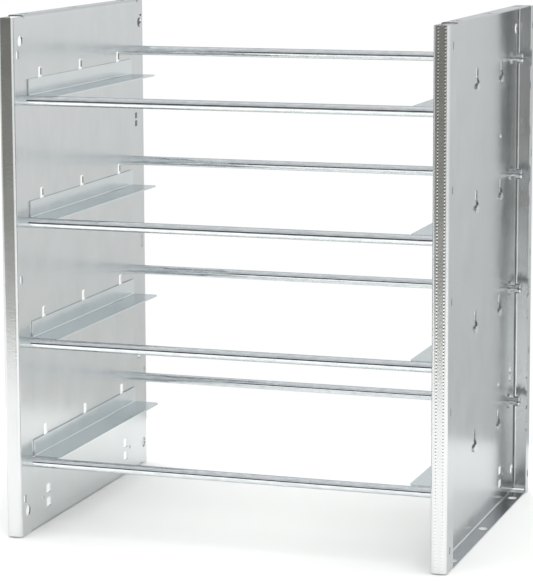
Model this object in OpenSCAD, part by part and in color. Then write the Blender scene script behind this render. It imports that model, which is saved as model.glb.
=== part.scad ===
// Open rack of two bent sheet side panels joined by round tubes in tiers.
// Each tier has a pair of hook-on ledges, one on each panel's inner face.
// +X is the rack's right, -Y its front, +Z up; the origin is the middle of its base.

/* [Rack] */
// Height of the side panels
rack_h = 750; // [740:5:770]
// Clear width between the panels' inner faces
inner_w = 606; // [400:1:900]
// Depth of the side panels
rack_d = 500; // [498:1:505]
// Height from one tier to the next
tier_pitch = 174.5; // [170:0.5:176]
// Height of the lowest front rod's axis
first_rod_z = 106.6; // [104:0.1:112]

/* [Side panels] */
// Thickness of the panels' sheet
sheet_t = 2; // [1.5:0.1:2.2]
// Outer radius of the panels' bends
bend_r = 5; // [4:0.5:6]
// How far the front stile stands out of the web's inner face
stile_reach = 23; // [22:0.5:26]
// How far the rear flange stands out of the web's inner face
rear_reach = 26; // [22:0.5:28]
// Depth of the return lip behind the front stile
front_lip = 38; // [30:1:40]
// Depth of the return lip in front of the rear flange
rear_lip = 25; // [18:1:26]
// Drop of the stile's and rear flange's ends below the top and bottom flanges
end_drop = 2; // [1:0.5:3]

/* [Rods] */
// Outside diameter of the tubes
rod_d = 14; // [13:0.5:16]
// Wall thickness of the tubes
rod_wall = 1.75; // [1.5:0.25:1.75]
// Depth of the front rods' axes behind the front face
front_rod_y = 30.5; // [28:0.5:34]
// Depth of the rear rods' axes behind the front face
rear_rod_y = 460.5; // [455:0.5:464]
// Height of each rear rod above the front rod of its tier
rear_rise = 41.3; // [36:0.1:44]

/* [Ledges] */
// Front end of the ledges behind the front face
ledge_front_y = 47; // [46:0.5:56]
// Rear end of the ledges behind the front face
ledge_rear_y = 443; // [430:0.5:446]
// Width of the ledge's shelf
ledge_w = 42; // [30:0.5:60]
// Height of the ledge's upright
ledge_h = 25.5; // [24:0.5:27]
// Thickness of the ledges' sheet
ledge_t = 2; // [1.5:0.1:2]
// Height of the ledge's underside above its tier's front rod axis
ledge_rise = 3; // [2:0.1:5]
// Depth of the middle hook behind the front face
hook_mid_y = 241; // [235:1:246]
// Spacing of the hooks along the ledge
hook_pitch = 149.5; // [140:0.5:150]

/* [Fasteners] */
// Thread diameter of the rod bolts
bolt_d = 8; // [6:1:8]
// Diameter of the round slotted bolt heads
head_d = 15; // [13:0.5:16]
// Height of the bolt heads
head_h = 9; // [7:0.5:9]
// Height of the collar between washer and head
collar_h = 6; // [4:0.5:6]
// Outside diameter of the washers
washer_d = 22; // [18:1:24]
// Thickness of the washers
washer_t = 2; // [1.5:0.1:2.2]

/* [Hidden] */
$fn = 48;
TIERS = 4;
eps = 1;
half_w = inner_w / 2;
y_front = -rack_d / 2;
slot_sides = 24;
// clearance between a ledge, which moves, and the panel it hangs on
hang_gap = 0.3;
// keyhole in the web, measured up from the ledge's underside
key_foot = 16;
key_shoulder = 26.5;
key_top = 40.5;
key_foot_w = 26;
key_slot_w = 11;
key_wall = 2.5;
key_corner = 2.5;
// hook on the ledge: a narrow neck, and a wider tongue that hangs below the keyhole's foot
hook_w = 16;
neck_w = 8;
neck_h = 2;
hook_drop = 7.5;
tongue_r = 3;
// holes in the web, measured from the panel's front and base
corner_hole_d = 16;
corner_front = 24;
corner_rear = 18;
corner_z = 36;
window_w = 15;
window_h = 13.5;
window_rise = 31;
window_pitch = 20.5;
window_front = 98;
window_rear = 404;
dot_d = 6;
dot_out = 18.5;
// paired openings near the rear, and single ones beside the stile
pair_y = 465;
pair_off = 180.5;
pair_pitch = 12.5;
small_w = 9;
pair_h = 9;
single_y = 14;
single_h = 11;
single_zs = [55, rack_h / 2, rack_h - 55];
// pips pressed out of the web, level with the paired openings
pip_r = 4;
pip_h = 1.2;
pip_y = 388;
flange_hole_d = 14;
flange_hole_x = 14;
flange_hole_ys = [70, rack_d / 2, 438];
// slots in the return lips, and notches in the rear lip's free edge
lip_slot_w = 4.5;
lip_slot_h = 10;
front_slot_y = 18;
rear_slot_y = rack_d - 15;
lip_slot_offs = [-345, -151.5, 0, 151.5, 345];
deep_notch = [15, 9];
small_notch = [8, 5];
// free ends of the top and bottom flanges, clear of the return lips
flange_front = front_lip + 1;
flange_rear = rack_d - rear_lip - 2;
relief = 2;
rod_clear = 0.5;
plug_len = 20;
plug_d = rod_d - 2 * rod_wall;
bolt_len = 18;
collar_d = 10;
head_bevel = 1.5;
head_slot_w = 2.4;
head_slot_deep = 4;
pilot_d = bolt_d + 0.2;

function tier_z(i) = first_rod_z + i * tier_pitch;
function rear_z(i) = tier_z(i) + rear_rise;
function ledge_z(i) = tier_z(i) + ledge_rise;
function at_y(y) = y_front + y;
function hook_y(k) = at_y(hook_mid_y + (k - 1) * hook_pitch);

// Everything below is drawn for the right side, with the web's inner face on
// x = 0 and its flanges towards +x; side() places it, mirrored for the left.
module side(right) {
    if (right) translate([half_w, 0, 0]) children();
    else mirror([1, 0, 0]) translate([half_w, 0, 0]) children();
}

// Quarter bend of the sheet about a corner, filling the quadrant at turn
module bend_2d(turn, t = sheet_t, r = bend_r) {
    rotate(turn) difference() {
        intersection() {
            circle(r);
            square(r);
        }
        circle(r - t);
    }
}

// Plan section of a panel: front lip, stile, web, rear flange and rear lip
module channel_2d() {
    r = bend_r;
    t = sheet_t;
    union() {
        translate([0, y_front + r]) square([t, rack_d - 2 * r]);
        translate([r, y_front + r]) bend_2d(180);
        translate([r, y_front]) square([stile_reach - 2 * r, t]);
        translate([stile_reach - r, y_front + r]) bend_2d(270);
        translate([stile_reach - t, y_front + r]) square([t, front_lip - r]);
        translate([r, -y_front - r]) bend_2d(90);
        translate([r, -y_front - t]) square([rear_reach - 2 * r, t]);
        translate([rear_reach - r, -y_front - r]) bend_2d(0);
        translate([rear_reach - t, -y_front - rear_lip]) square([t, rear_lip - r]);
    }
}

// Bent top flange as a strip running front to back; its outer face is at z = 0
module flange_strip() {
    len = flange_rear - flange_front;
    reach = stile_reach + 1;
    translate([0, at_y(flange_rear), 0]) rotate([90, 0, 0]) linear_extrude(len) union() {
        translate([bend_r, -bend_r]) bend_2d(90);
        translate([bend_r, -sheet_t]) square([reach - bend_r, sheet_t]);
    }
}

// Square-cornered cut through the web at depth y and height z
module web_cut(y, z, w, h) {
    translate([-eps, at_y(y) - w / 2, z - h / 2]) cube([sheet_t + 2 * eps, w, h]);
}

// Round cut through the web
module web_hole(y, z, d) {
    translate([-eps, at_y(y), z]) rotate([0, 90, 0]) cylinder(h = sheet_t + 2 * eps, d = d);
}

// Upright slot with round ends through the web
module web_slot(y, z, w, h) {
    web_cut(y, z, w, h - w);
    for (s = [-1, 1]) web_hole(y, z + s * (h - w) / 2, w);
}

// Low round pip pressed out of the web's far face
module web_pip(y, z) {
    translate([sheet_t / 2, at_y(y), z]) rotate([0, 90, 0])
        cylinder(h = sheet_t / 2 + pip_h, r1 = pip_r, r2 = pip_r / 2);
}

// Keyhole that a ledge hook goes through, drawn from the ledge's underside up
module keyhole_2d() {
    union() {
        polygon([[-key_foot_w / 2, key_foot], [key_foot_w / 2, key_foot],
            [key_foot_w / 2, key_foot + key_wall], [key_slot_w / 2 + 1.5, key_shoulder - 2],
            [key_slot_w / 2, key_shoulder + 1.5], [-key_slot_w / 2, key_shoulder + 1.5],
            [-key_slot_w / 2 - 1.5, key_shoulder - 2], [-key_foot_w / 2, key_foot + key_wall]]);
        translate([-key_slot_w / 2, key_shoulder])
            square([key_slot_w, key_top - key_shoulder - key_corner]);
        translate([key_corner - key_slot_w / 2, key_top - key_corner - eps])
            square([key_slot_w - 2 * key_corner, key_corner + eps]);
        for (s = [-1, 1]) translate([s * (key_slot_w / 2 - key_corner), key_top - key_corner])
            circle(key_corner, $fn = slot_sides);
    }
}

// All cuts through the web of one panel
module web_cuts() {
    for (z = [corner_z, rack_h - corner_z], y = [corner_front, rack_d - corner_rear])
        web_hole(y, z, corner_hole_d);
    for (i = [0 : TIERS - 1]) {
        web_hole(front_rod_y, tier_z(i), bolt_d + rod_clear);
        web_hole(rear_rod_y, rear_z(i), bolt_d + rod_clear);
        for (k = [0 : 2]) translate([-eps, hook_y(k), ledge_z(i)])
            rotate([90, 0, 90]) linear_extrude(sheet_t + 2 * eps) keyhole_2d();
    }
    // windows and dot holes along the base
    for (y = [window_front, window_rear]) {
        for (k = [0, 1]) web_cut(y, window_rise + k * window_pitch, window_w, window_h);
        web_hole(y + (y > rack_d / 2 ? 1 : -1) * dot_out, window_rise + window_pitch / 2, dot_d);
    }
    for (s = [-1, 1], k = [0, 1])
        web_cut(pair_y, rack_h / 2 + s * (pair_off + k * pair_pitch), small_w, pair_h);
    for (z = single_zs) web_cut(single_y, z, small_w, single_h);
    // slots beside the rear flange
    web_slot(484, rack_h / 2 - 9, 4, 23);
    web_slot(488, 156, 3, 9);
    web_cut(488, rack_h - 25, 8, 3);
}

// Upright slot through the return lip that ends at reach
module lip_slot(reach, y, z) {
    translate([reach - sheet_t - eps, at_y(y), z - lip_slot_h / 2])
        cube([sheet_t + 2 * eps, lip_slot_w, lip_slot_h]);
}

// Notch with slanted ends in the rear lip's edge; size is half its height, and its depth
module lip_notch(z, size) {
    half = size[0];
    deep = size[1];
    translate([rear_reach - sheet_t - eps, at_y(rack_d - rear_lip), z]) rotate([90, 0, 90])
        linear_extrude(sheet_t + 2 * eps)
            polygon([[-eps, -half], [deep, -half + deep / 2], [deep, half - deep / 2], [-eps, half]]);
}

// Slots and notches in the two return lips
module lip_cuts() {
    for (dz = lip_slot_offs) {
        lip_slot(stile_reach, front_slot_y, rack_h / 2 + dz);
        lip_slot(rear_reach, rear_slot_y, rack_h / 2 + dz);
    }
    for (i = [0 : TIERS - 1]) {
        lip_notch(rear_z(i), deep_notch);
        lip_notch(tier_z(i), small_notch);
    }
    for (s = [-1, 1]) lip_notch(rack_h / 2 + s * (pair_off + pair_pitch / 2), small_notch);
}

// One side panel on the right side
module panel() {
    edge = bend_r + eps;
    difference() {
        union() {
            translate([0, 0, end_drop]) linear_extrude(rack_h - 2 * end_drop) channel_2d();
            translate([0, 0, rack_h]) flange_strip();
            mirror([0, 0, 1]) flange_strip();
            for (s = [-1, 1]) web_pip(pip_y, rack_h / 2 + s * (pair_off + pair_pitch / 2));
        }
        // room for the two flanges' bends, with a relief at each end
        for (z = [rack_h - bend_r, -eps]) difference() {
            translate([-eps, at_y(flange_front - relief), z])
                cube([sheet_t + 2 * eps, flange_rear - flange_front + 2 * relief, edge]);
            translate([0, 0, rack_h]) flange_strip();
            mirror([0, 0, 1]) flange_strip();
        }
        web_cuts();
        lip_cuts();
        for (y = flange_hole_ys, z = [-eps, rack_h - sheet_t - eps])
            translate([flange_hole_x, at_y(y), z]) cylinder(h = sheet_t + 2 * eps, d = flange_hole_d);
    }
}

// Tube between the two webs
module rod(y, z) {
    translate([-half_w, at_y(y), z]) rotate([0, 90, 0]) difference() {
        cylinder(h = inner_w, d = rod_d);
        translate([0, 0, -eps]) cylinder(h = inner_w + 2 * eps, d = rod_d - 2 * rod_wall);
    }
}

// Places children at each of the eight rod ends of one side
module at_rod_ends() {
    for (i = [0 : TIERS - 1]) {
        translate([0, at_y(front_rod_y), tier_z(i)]) children();
        translate([0, at_y(rear_rod_y), rear_z(i)]) children();
    }
}

// Threaded plug fixed in a tube's end
module rod_plug() {
    translate([-plug_len, 0, 0]) rotate([0, 90, 0]) difference() {
        cylinder(h = plug_len, d = plug_d);
        translate([0, 0, -eps]) cylinder(h = plug_len + 2 * eps, d = pilot_d);
    }
}

module rod_washer() {
    translate([sheet_t, 0, 0]) rotate([0, 90, 0]) difference() {
        cylinder(h = washer_t, d = washer_d);
        translate([0, 0, -eps]) cylinder(h = washer_t + 2 * eps, d = bolt_d + rod_clear);
    }
}

// Bolt with a collar and a round slotted head, seated on the washer
module rod_bolt() {
    seat = sheet_t + washer_t;
    top = collar_h + head_h;
    translate([seat, 0, 0]) rotate([0, 90, 0]) union() {
        translate([0, 0, -seat - bolt_len]) cylinder(h = seat + bolt_len + eps, d = bolt_d);
        cylinder(h = collar_h + eps, d = collar_d);
        difference() {
            union() {
                translate([0, 0, collar_h]) cylinder(h = head_h - head_bevel, d = head_d);
                translate([0, 0, top - head_bevel])
                    cylinder(h = head_bevel, d1 = head_d, d2 = head_d - 2 * head_bevel);
            }
            translate([-head_slot_w / 2, -head_d, top - head_slot_deep])
                cube([head_slot_w, 2 * head_d, head_slot_deep + eps]);
        }
    }
}

// Hook on a ledge: a neck through the keyhole, and a tongue down the web's far face
module ledge_hook() {
    far = sheet_t + hang_gap;
    root = hang_gap + ledge_t / 2;
    neck_z = key_foot + hang_gap;
    tip_z = key_foot - hook_drop;
    translate([-root, -neck_w / 2, neck_z]) cube([root + far + ledge_t, neck_w, neck_h]);
    translate([far, 0, 0]) rotate([90, 0, 90]) linear_extrude(ledge_t) union() {
        translate([-neck_w / 2, key_foot - 1]) square([neck_w, hang_gap + neck_h + 1]);
        translate([-hook_w / 2, tip_z + tongue_r]) square([hook_w, hook_drop - tongue_r]);
        translate([-hook_w / 2 + tongue_r, tip_z]) square([hook_w - 2 * tongue_r, tongue_r + 1]);
        for (s = [-1, 1]) translate([s * (hook_w / 2 - tongue_r), tip_z + tongue_r]) circle(tongue_r);
    }
}

// Angle section of a ledge with a rounded bend, in the X-Z plane
module ledge_2d() {
    r = 3.5;
    union() {
        translate([-hang_gap - ledge_t, r]) square([ledge_t, ledge_h - r]);
        translate([-hang_gap - r, r]) bend_2d(270, ledge_t, r);
        translate([-hang_gap - ledge_w, 0]) square([ledge_w - r, ledge_t]);
    }
}

// Hook-on ledge of tier i on the right side
module ledge(i) {
    len = ledge_rear_y - ledge_front_y;
    corner = 6;
    translate([0, 0, ledge_z(i)]) difference() {
        union() {
            translate([0, at_y(ledge_rear_y), 0]) rotate([90, 0, 0]) linear_extrude(len) ledge_2d();
            for (k = [0 : 2]) translate([0, hook_y(k), 0]) ledge_hook();
        }
        // the shelf's free corners are rounded
        for (s = [-1, 1]) {
            y_end = s > 0 ? at_y(ledge_rear_y) : at_y(ledge_front_y);
            translate([-hang_gap - ledge_w, y_end, -eps]) difference() {
                translate([-eps, s > 0 ? -corner : -eps, 0]) cube([corner + eps, corner + eps, ledge_t + 2 * eps]);
                translate([corner, -s * corner, -eps]) cylinder(h = ledge_t + 4 * eps, r = corner);
            }
        }
    }
}

module side_panel(right) {
    color([0.75, 0.77, 0.77]) side(right) panel();
}

module front_rod(i) {
    color([0.86, 0.88, 0.9]) rod(front_rod_y, tier_z(i));
}

module rear_rod(i) {
    color([0.86, 0.88, 0.9]) rod(rear_rod_y, rear_z(i));
}

module side_ledge(right, i) {
    color([0.69, 0.72, 0.73]) side(right) ledge(i);
}

module rod_plugs(right) {
    color([0.6, 0.6, 0.6]) side(right) at_rod_ends() rod_plug();
}

module rod_washers(right) {
    color([0.8, 0.8, 0.82]) side(right) at_rod_ends() rod_washer();
}

module rod_bolts(right) {
    color([0.72, 0.73, 0.75]) side(right) at_rod_ends() rod_bolt();
}

side_panel(false);  // left_side_panel
side_panel(true);  // right_side_panel
front_rod(0);  // front_rod_1
front_rod(1);  // front_rod_2
front_rod(2);  // front_rod_3
front_rod(3);  // front_rod_4
rear_rod(0);  // rear_rod_1
rear_rod(1);  // rear_rod_2
rear_rod(2);  // rear_rod_3
rear_rod(3);  // rear_rod_4
side_ledge(false, 0);  // left_ledge_1
side_ledge(false, 1);  // left_ledge_2
side_ledge(false, 2);  // left_ledge_3
side_ledge(false, 3);  // left_ledge_4
side_ledge(true, 0);  // right_ledge_1
side_ledge(true, 1);  // right_ledge_2
side_ledge(true, 2);  // right_ledge_3
side_ledge(true, 3);  // right_ledge_4
rod_plugs(false);  // left_rod_plugs
rod_plugs(true);  // right_rod_plugs
rod_washers(false);  // left_rod_washers
rod_washers(true);  // right_rod_washers
rod_bolts(false);  // left_rod_bolts
rod_bolts(true);  // right_rod_bolts
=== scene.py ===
import math
import bmesh
import bpy
from mathutils import Matrix, Vector

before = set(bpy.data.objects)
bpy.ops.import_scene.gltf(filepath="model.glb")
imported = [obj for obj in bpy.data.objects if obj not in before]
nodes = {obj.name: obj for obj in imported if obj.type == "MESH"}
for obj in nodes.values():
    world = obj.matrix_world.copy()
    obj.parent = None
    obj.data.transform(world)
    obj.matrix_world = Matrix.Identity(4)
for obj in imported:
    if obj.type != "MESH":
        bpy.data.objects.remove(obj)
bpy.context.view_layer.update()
print("frame loaded,", len(nodes), "nodes")

mm = 0.001


def srgb(hexText):  # sRGB hex to linear RGBA
    parts = [int(hexText[i:i + 2], 16) / 255 for i in (0, 2, 4)]
    return [p / 12.92 if p <= 0.04045 else ((p + 0.055) / 1.055) ** 2.4 for p in parts] + [1.0]


def addNode(tree, kind, settings=None, links=None):
    # settings: attribute, or input by name or number -> value; links: input -> output socket
    node = tree.nodes.new(kind)
    for name, value in (settings or {}).items():
        if isinstance(name, str) and hasattr(node, name):
            setattr(node, name, value)
        else:
            node.inputs[name].default_value = value
    for name, socket in (links or {}).items():
        tree.links.new(socket, node.inputs[name])
    return node


def newMaterial(name):
    material = bpy.data.materials.new(name)
    material.use_nodes = True
    tree = material.node_tree
    tree.nodes.clear()
    return material, tree


cameraSet = {
    "place": (1.1514, -3.4665, 0.9553),
    "yaw": 0.32430,  # turned to the left, in radians
    "pitch": -0.14461,
    "roll": -0.00357,
    "lens": 155.5, "sensor": 36,
    "shiftY": -0.0995,
}


def makeCamera(s):
    data = bpy.data.cameras.new("camera")
    data.lens = s["lens"]
    data.sensor_width = s["sensor"]
    data.shift_y = s["shiftY"]
    ahead = Vector((-math.sin(s["yaw"]) * math.cos(s["pitch"]),
                    math.cos(s["yaw"]) * math.cos(s["pitch"]), math.sin(s["pitch"])))
    right = Vector((math.cos(s["yaw"]), math.sin(s["yaw"]), 0))
    up = right.cross(ahead)
    turn = Matrix.Rotation(s["roll"], 3, "Z")
    axes = Matrix((right, up, -ahead)).transposed() @ turn
    camera = bpy.data.objects.new("camera", data)
    camera.matrix_world = Matrix.Translation(s["place"]) @ axes.to_4x4()
    bpy.context.scene.collection.objects.link(camera)
    bpy.context.scene.camera = camera


makeCamera(cameraSet)
print("camera made")

studioSet = {
    "floorX": 3.0,
    "floorFront": -1.75,  # the floor ends in front, so the low front room reads dark in the metal
    "floorRear": 0.55,
    "floorColour": "F4F4F2", "floorRough": 0.9,
    "topSize": 8.0,
    "topPlace": (0, 0.6, 3.0),
    "topPower": 228,
    "roomFront": [(0.36, "C8C7C3"), (0.43, "8E8D88"), (0.475, "74736F"), (0.50, "4E4D4A"),
                  (0.56, "242423"), (0.595, "101010"), (0.64, "8C8C8C"), (0.70, "CDCDCF")],
    "roomRound": [(0.38, "DCDEDC"), (0.46, "F0F1F0"), (0.50, "F6F8F8"), (0.58, "F4F6F7"), (0.75, "E2E5E6")],
    "frontFrom": (-0.1, -0.75),  # the front wall fades in between these forward directions
    "brightSide": (0.24, 0.36),  # to the right of this the front wall is bright like the rest of the room
    "brightExtra": 0.1,  # how much brighter than the rest it is
}


def makeFloor(s):
    bm = bmesh.new()
    bmesh.ops.create_grid(bm, x_segments=1, y_segments=1, size=1)
    depth = s["floorRear"] - s["floorFront"]
    bmesh.ops.scale(bm, vec=(s["floorX"], depth / 2, 1), verts=bm.verts)
    bmesh.ops.translate(bm, vec=(0, s["floorFront"] + depth / 2, 0), verts=bm.verts)
    mesh = bpy.data.meshes.new("floor")
    bm.to_mesh(mesh)
    bm.free()
    floor = bpy.data.objects.new("floor", mesh)
    bpy.context.scene.collection.objects.link(floor)
    material, tree = newMaterial("matt_paper")
    shader = addNode(tree, "ShaderNodeBsdfPrincipled",
                     {"Base Color": srgb(s["floorColour"]), "Roughness": s["floorRough"]})
    addNode(tree, "ShaderNodeOutputMaterial", links={"Surface": shader.outputs[0]})
    mesh.materials.append(material)


def makeSoftbox(s):
    # metal doesn't mirror this softbox: it only lights the paper
    data = bpy.data.lights.new("softbox_top", "AREA")
    data.shape = "SQUARE"
    data.size = s["topSize"]
    data.energy = s["topPower"]
    light = bpy.data.objects.new("softbox_top", data)
    light.location = s["topPlace"]
    light.visible_camera = False
    light.visible_glossy = False
    bpy.context.scene.collection.objects.link(light)


def makeRoom(s):
    # A white room whose front wall is dark near the horizon, which draws the core lines on bright metal.
    world = bpy.data.worlds.new("studio_room")
    world.use_nodes = True
    tree = world.node_tree
    tree.nodes.clear()
    place = addNode(tree, "ShaderNodeTexCoord")
    split = addNode(tree, "ShaderNodeSeparateXYZ", links={0: place.outputs["Generated"]})
    front = addNode(tree, "ShaderNodeMapRange",
                    {"From Min": s["frontFrom"][0], "From Max": s["frontFrom"][1],
                     "interpolation_type": "SMOOTHSTEP"},
                    {"Value": split.outputs["Y"]})
    height = addNode(tree, "ShaderNodeMapRange", {"From Min": -1.0, "From Max": 1.0},
                     {"Value": split.outputs["Z"]})
    walls = []
    for points in (s["roomRound"], s["roomFront"]):
        ramp = addNode(tree, "ShaderNodeValToRGB", links={0: height.outputs[0]})
        elements = ramp.color_ramp.elements
        while len(elements) < len(points):
            elements.new(0.5)
        for element, (position, hexText) in zip(elements, points):
            element.position = position
            element.color = srgb(hexText)
        walls.append(ramp.outputs[0])
    opened = addNode(tree, "ShaderNodeMapRange",
                     {"From Min": s["brightSide"][1], "From Max": s["brightSide"][0],
                      "interpolation_type": "SMOOTHSTEP"}, {"Value": split.outputs["X"]})
    closed = addNode(tree, "ShaderNodeMath", {"operation": "MULTIPLY"},
                     {0: front.outputs[0], 1: opened.outputs[0]})
    mixed = addNode(tree, "ShaderNodeMix", {"data_type": "RGBA"},
                    {0: closed.outputs[0], 6: walls[0], 7: walls[1]})
    bright = addNode(tree, "ShaderNodeMath", {"operation": "SUBTRACT"},
                     {0: front.outputs[0], 1: closed.outputs[0]})
    glow = addNode(tree, "ShaderNodeMath", {"operation": "MULTIPLY_ADD", 1: s["brightExtra"], 2: 1.0},
                   {0: bright.outputs[0]})
    lit = addNode(tree, "ShaderNodeBackground",
                  links={"Color": mixed.outputs[2], "Strength": glow.outputs[0]})
    plain = addNode(tree, "ShaderNodeBackground", {"Color": (1, 1, 1, 1)})
    path = addNode(tree, "ShaderNodeLightPath")
    both = addNode(tree, "ShaderNodeMixShader",
                   links={0: path.outputs["Is Camera Ray"], 1: lit.outputs[0], 2: plain.outputs[0]})
    addNode(tree, "ShaderNodeOutputWorld", links={"Surface": both.outputs[0]})
    bpy.context.scene.world = world


makeFloor(studioSet)
makeSoftbox(studioSet)
makeRoom(studioSet)
bpy.context.scene.view_settings.view_transform = "Standard"
print("studio made")


noiseSpan = {"From Min": 0.25, "From Max": 0.75}  # nearly all of the noise lies between these


def pattern(tree, place, period, stretch=(1, 1, 1), detail=3.0):
    # noise whose features are about period millimetres, drawn out along an axis by stretch
    scale = 1 / (period * mm)
    mapping = addNode(tree, "ShaderNodeMapping",
                      {"Scale": tuple(scale / f for f in stretch)}, {"Vector": place})
    return addNode(tree, "ShaderNodeTexNoise", {"Scale": 1.0, "Detail": detail},
                   {"Vector": mapping.outputs[0]})


sheetSet = {
    "dark": "DCDEDE", "light": "E8E9E9",
    "edge": "D6D8DA",  # zinc oxide keeps the grazing reflection duller than bare metal's
    "rough": (0.17, 0.25),
    "cloud": 60, "cloudShare": 0.6,  # soft clouds in the zinc, mm, and their part in the colour
    "streak": 1.6, "streakLength": 60, "streakShare": 0.4,  # rolling streaks along the sheet, mm
    "grain": 0.9,  # zinc grain, drawn coarser than the real 0.3 mm so that it shows
    "grainDepth": 0.010,
    "bump": 0.5,
    "beadLines": (0.3105, 0.3205),  # the two rolled lines on the right stile, metres from the middle
    "beadWidth": 1.1, "beadPitch": 4.6, "beadDepth": 0.45,  # mm
    # painted highlight: a near-white colour mixed in along the bead lines, standing in for the glint of
    # light on the rolled ridges
    "beadPaintedHighlight": "FAFAF8",
    "frontFace": -0.2475,  # beads and coarse grain lie in front of this, in metres
    "stileGrain": 2.2, "stileGrainDepth": 0.16,  # mm
}


def stileRelief(tree, place, s):
    # coarse grain on both front stiles and bead lines on the right one; gives the height in metres and the
    # mask of the bead lines, which also carries a painted highlight into the colour
    split = addNode(tree, "ShaderNodeSeparateXYZ", links={0: place})
    turn = addNode(tree, "ShaderNodeMath",
                   {"operation": "MULTIPLY", 1: 2 * math.pi / (s["beadPitch"] * mm)},
                   {0: split.outputs["Z"]})
    wave = addNode(tree, "ShaderNodeMath", {"operation": "COSINE"}, {0: turn.outputs[0]})
    row = addNode(tree, "ShaderNodeMath", {"operation": "MULTIPLY_ADD", 1: 0.5, 2: 0.5},
                  {0: wave.outputs[0]})
    lines = []
    for line in s["beadLines"]:
        off = addNode(tree, "ShaderNodeMath", {"operation": "SUBTRACT", 1: line}, {0: split.outputs["X"]})
        steep = addNode(tree, "ShaderNodeMath", {"operation": "MULTIPLY", 1: 1 / (s["beadWidth"] * mm)},
                        {0: off.outputs[0]})
        square = addNode(tree, "ShaderNodeMath", {"operation": "MULTIPLY"},
                         {0: steep.outputs[0], 1: steep.outputs[0]})
        ridge = addNode(tree, "ShaderNodeMath", {"operation": "SUBTRACT", "use_clamp": True, 0: 1.0},
                        {1: square.outputs[0]})
        lines.append(addNode(tree, "ShaderNodeMath", {"operation": "MULTIPLY"},
                             {0: ridge.outputs[0], 1: row.outputs[0]}).outputs[0])
    beadsWithPaintedHighlight = addNode(tree, "ShaderNodeMath", {"operation": "ADD"}, {0: lines[0], 1: lines[1]})
    grain = pattern(tree, place, s["stileGrain"], detail=2)
    grainHeight = addNode(tree, "ShaderNodeMath", {"operation": "MULTIPLY", 1: s["stileGrainDepth"] * mm},
                          {0: grain.outputs[0]})
    height = addNode(tree, "ShaderNodeMath", {"operation": "MULTIPLY_ADD", 1: s["beadDepth"] * mm},
                     {0: beadsWithPaintedHighlight.outputs[0], 2: grainHeight.outputs[0]})
    onStile = addNode(tree, "ShaderNodeMath", {"operation": "LESS_THAN", 1: s["frontFace"]},
                      {0: split.outputs["Y"]})
    kept = [addNode(tree, "ShaderNodeMath", {"operation": "MULTIPLY"},
                    {0: node.outputs[0], 1: onStile.outputs[0]}) for node in (height, beadsWithPaintedHighlight)]
    return kept[0].outputs[0], kept[1].outputs[0]


def hotDipSheet(name, s, along):
    # Hot-dip galvanised cold-rolled sheet: satin zinc, faint clouds and rolling streaks
    material, tree = newMaterial(name)
    place = addNode(tree, "ShaderNodeTexCoord").outputs["Object"]
    cloud = pattern(tree, place, s["cloud"], detail=4)
    stretch = tuple(s["streakLength"] / s["streak"] if i == along else 1 for i in range(3))
    streak = pattern(tree, place, s["streak"], stretch, detail=2)
    grain = pattern(tree, place, s["grain"], detail=2)
    clouded = addNode(tree, "ShaderNodeMapRange", dict(noiseSpan, **{"To Max": s["cloudShare"]}),
                      {"Value": cloud.outputs[0]})
    streaked = addNode(tree, "ShaderNodeMapRange", dict(noiseSpan, **{"To Max": s["streakShare"]}),
                       {"Value": streak.outputs[0]})
    both = addNode(tree, "ShaderNodeMath", {"operation": "ADD"},
                   {0: clouded.outputs[0], 1: streaked.outputs[0]})
    colour = addNode(tree, "ShaderNodeMix", {"data_type": "RGBA", 6: srgb(s["dark"]), 7: srgb(s["light"])},
                     {0: both.outputs[0]}).outputs[2]
    relief = addNode(tree, "ShaderNodeMath", {"operation": "MULTIPLY", 1: s["grainDepth"] * mm},
                     {0: grain.outputs[0]}).outputs[0]
    if along == 2:
        stile, beadsWithPaintedHighlight = stileRelief(tree, place, s)
        relief = addNode(tree, "ShaderNodeMath", {"operation": "ADD"}, {0: relief, 1: stile}).outputs[0]
        # painted highlight: the near-white colour is mixed in along the bead lines of the right stile
        colour = addNode(tree, "ShaderNodeMix", {"data_type": "RGBA", 7: srgb(s["beadPaintedHighlight"])},
                         {0: beadsWithPaintedHighlight, 6: colour}).outputs[2]
    rough = addNode(tree, "ShaderNodeMapRange",
                    dict(noiseSpan, **{"To Min": s["rough"][0], "To Max": s["rough"][1]}),
                    {"Value": cloud.outputs[0]})
    bump = addNode(tree, "ShaderNodeBump", {"Strength": s["bump"], "Distance": 1.0}, {"Height": relief})
    shader = addNode(tree, "ShaderNodeBsdfPrincipled", {"Metallic": 1.0, "Specular Tint": srgb(s["edge"])},
                     {"Base Color": colour, "Roughness": rough.outputs[0], "Normal": bump.outputs[0]})
    addNode(tree, "ShaderNodeOutputMaterial", links={"Surface": shader.outputs[0]})
    return material


ledgeSet = dict(sheetSet, dark="DEE2E3", light="E8EBEC", edge="E4E7E8")

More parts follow.
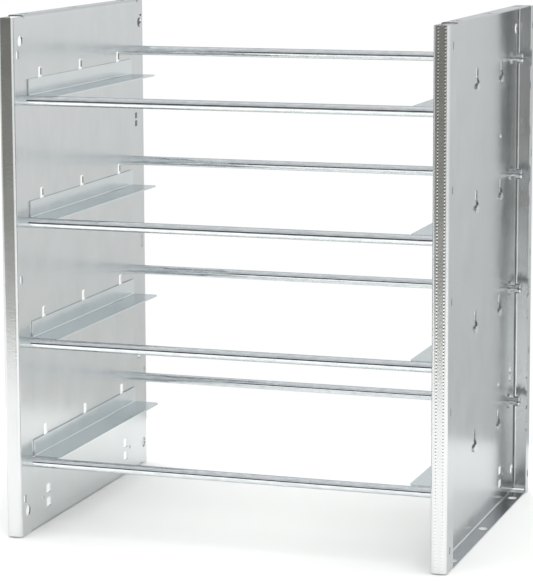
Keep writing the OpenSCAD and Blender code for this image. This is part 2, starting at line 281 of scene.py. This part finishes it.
tubeSet = {
    "dark": "D2D8DC", "light": "F4F6F7",
    # painted shade in the reflection: the grazing reflection is tinted darker, so the top and bottom edges
    # of the tubes read dark in place of reflected shade
    "edge": "A9AEB0",
    "rough": (0.03, 0.08),
    "period": 3.5, "stretch": (4, 1, 1),  # drawn marks along the tube, mm
    "strength": 0.7, "depth": 0.05,
}


def zincPlated(name, s):
    # Zinc plating over drawn tube or cold-headed steel: bright, with a fine uneven coat
    material, tree = newMaterial(name)
    place = addNode(tree, "ShaderNodeTexCoord").outputs["Object"]
    coat = pattern(tree, place, s["period"], s["stretch"])
    even = addNode(tree, "ShaderNodeMapRange", noiseSpan, {"Value": coat.outputs[0]})
    colour = addNode(tree, "ShaderNodeMix", {"data_type": "RGBA", 6: srgb(s["dark"]), 7: srgb(s["light"])},
                     {0: even.outputs[0]})
    rough = addNode(tree, "ShaderNodeMapRange", {"To Min": s["rough"][0], "To Max": s["rough"][1]},
                    {"Value": even.outputs[0]})
    bump = addNode(tree, "ShaderNodeBump", {"Strength": s["strength"], "Distance": s["depth"] * mm},
                   {"Height": coat.outputs[0]})
    shader = addNode(tree, "ShaderNodeBsdfPrincipled",
                     {"Metallic": 1.0, "Specular Tint": srgb(s["edge"])},
                     {"Base Color": colour.outputs[2], "Roughness": rough.outputs[0],
                      "Normal": bump.outputs[0]})
    addNode(tree, "ShaderNodeOutputMaterial", links={"Surface": shader.outputs[0]})
    return material


fastenerSet = {
    "dark": "B9BCBE", "light": "E2E5E6", "edge": "FFFFFF", "rough": (0.10, 0.24),
    "period": 2.5, "stretch": (1, 1, 1),
    "strength": 0.5, "depth": 0.03,
}

finishes = {
    "side_panel": hotDipSheet("galvanised_panel_sheet", sheetSet, 2),
    "ledge": hotDipSheet("galvanised_ledge_sheet", ledgeSet, 1),
    "rod_plugs": zincPlated("turned_steel", dict(fastenerSet, dark="8E9092", light="A9ABAD")),
    "rod_washers": zincPlated("zinc_plated_washer", fastenerSet),
    "rod_bolts": zincPlated("zinc_plated_bolt", dict(fastenerSet, rough=(0.08, 0.2))),
    "front_rod": zincPlated("bright_zinc_tube", tubeSet),
}
finishes["rear_rod"] = finishes["front_rod"]
for nodeName, cadNode in nodes.items():
    for part, material in finishes.items():
        if part in nodeName:
            cadNode.material_slots[0].material = material
print("materials made")
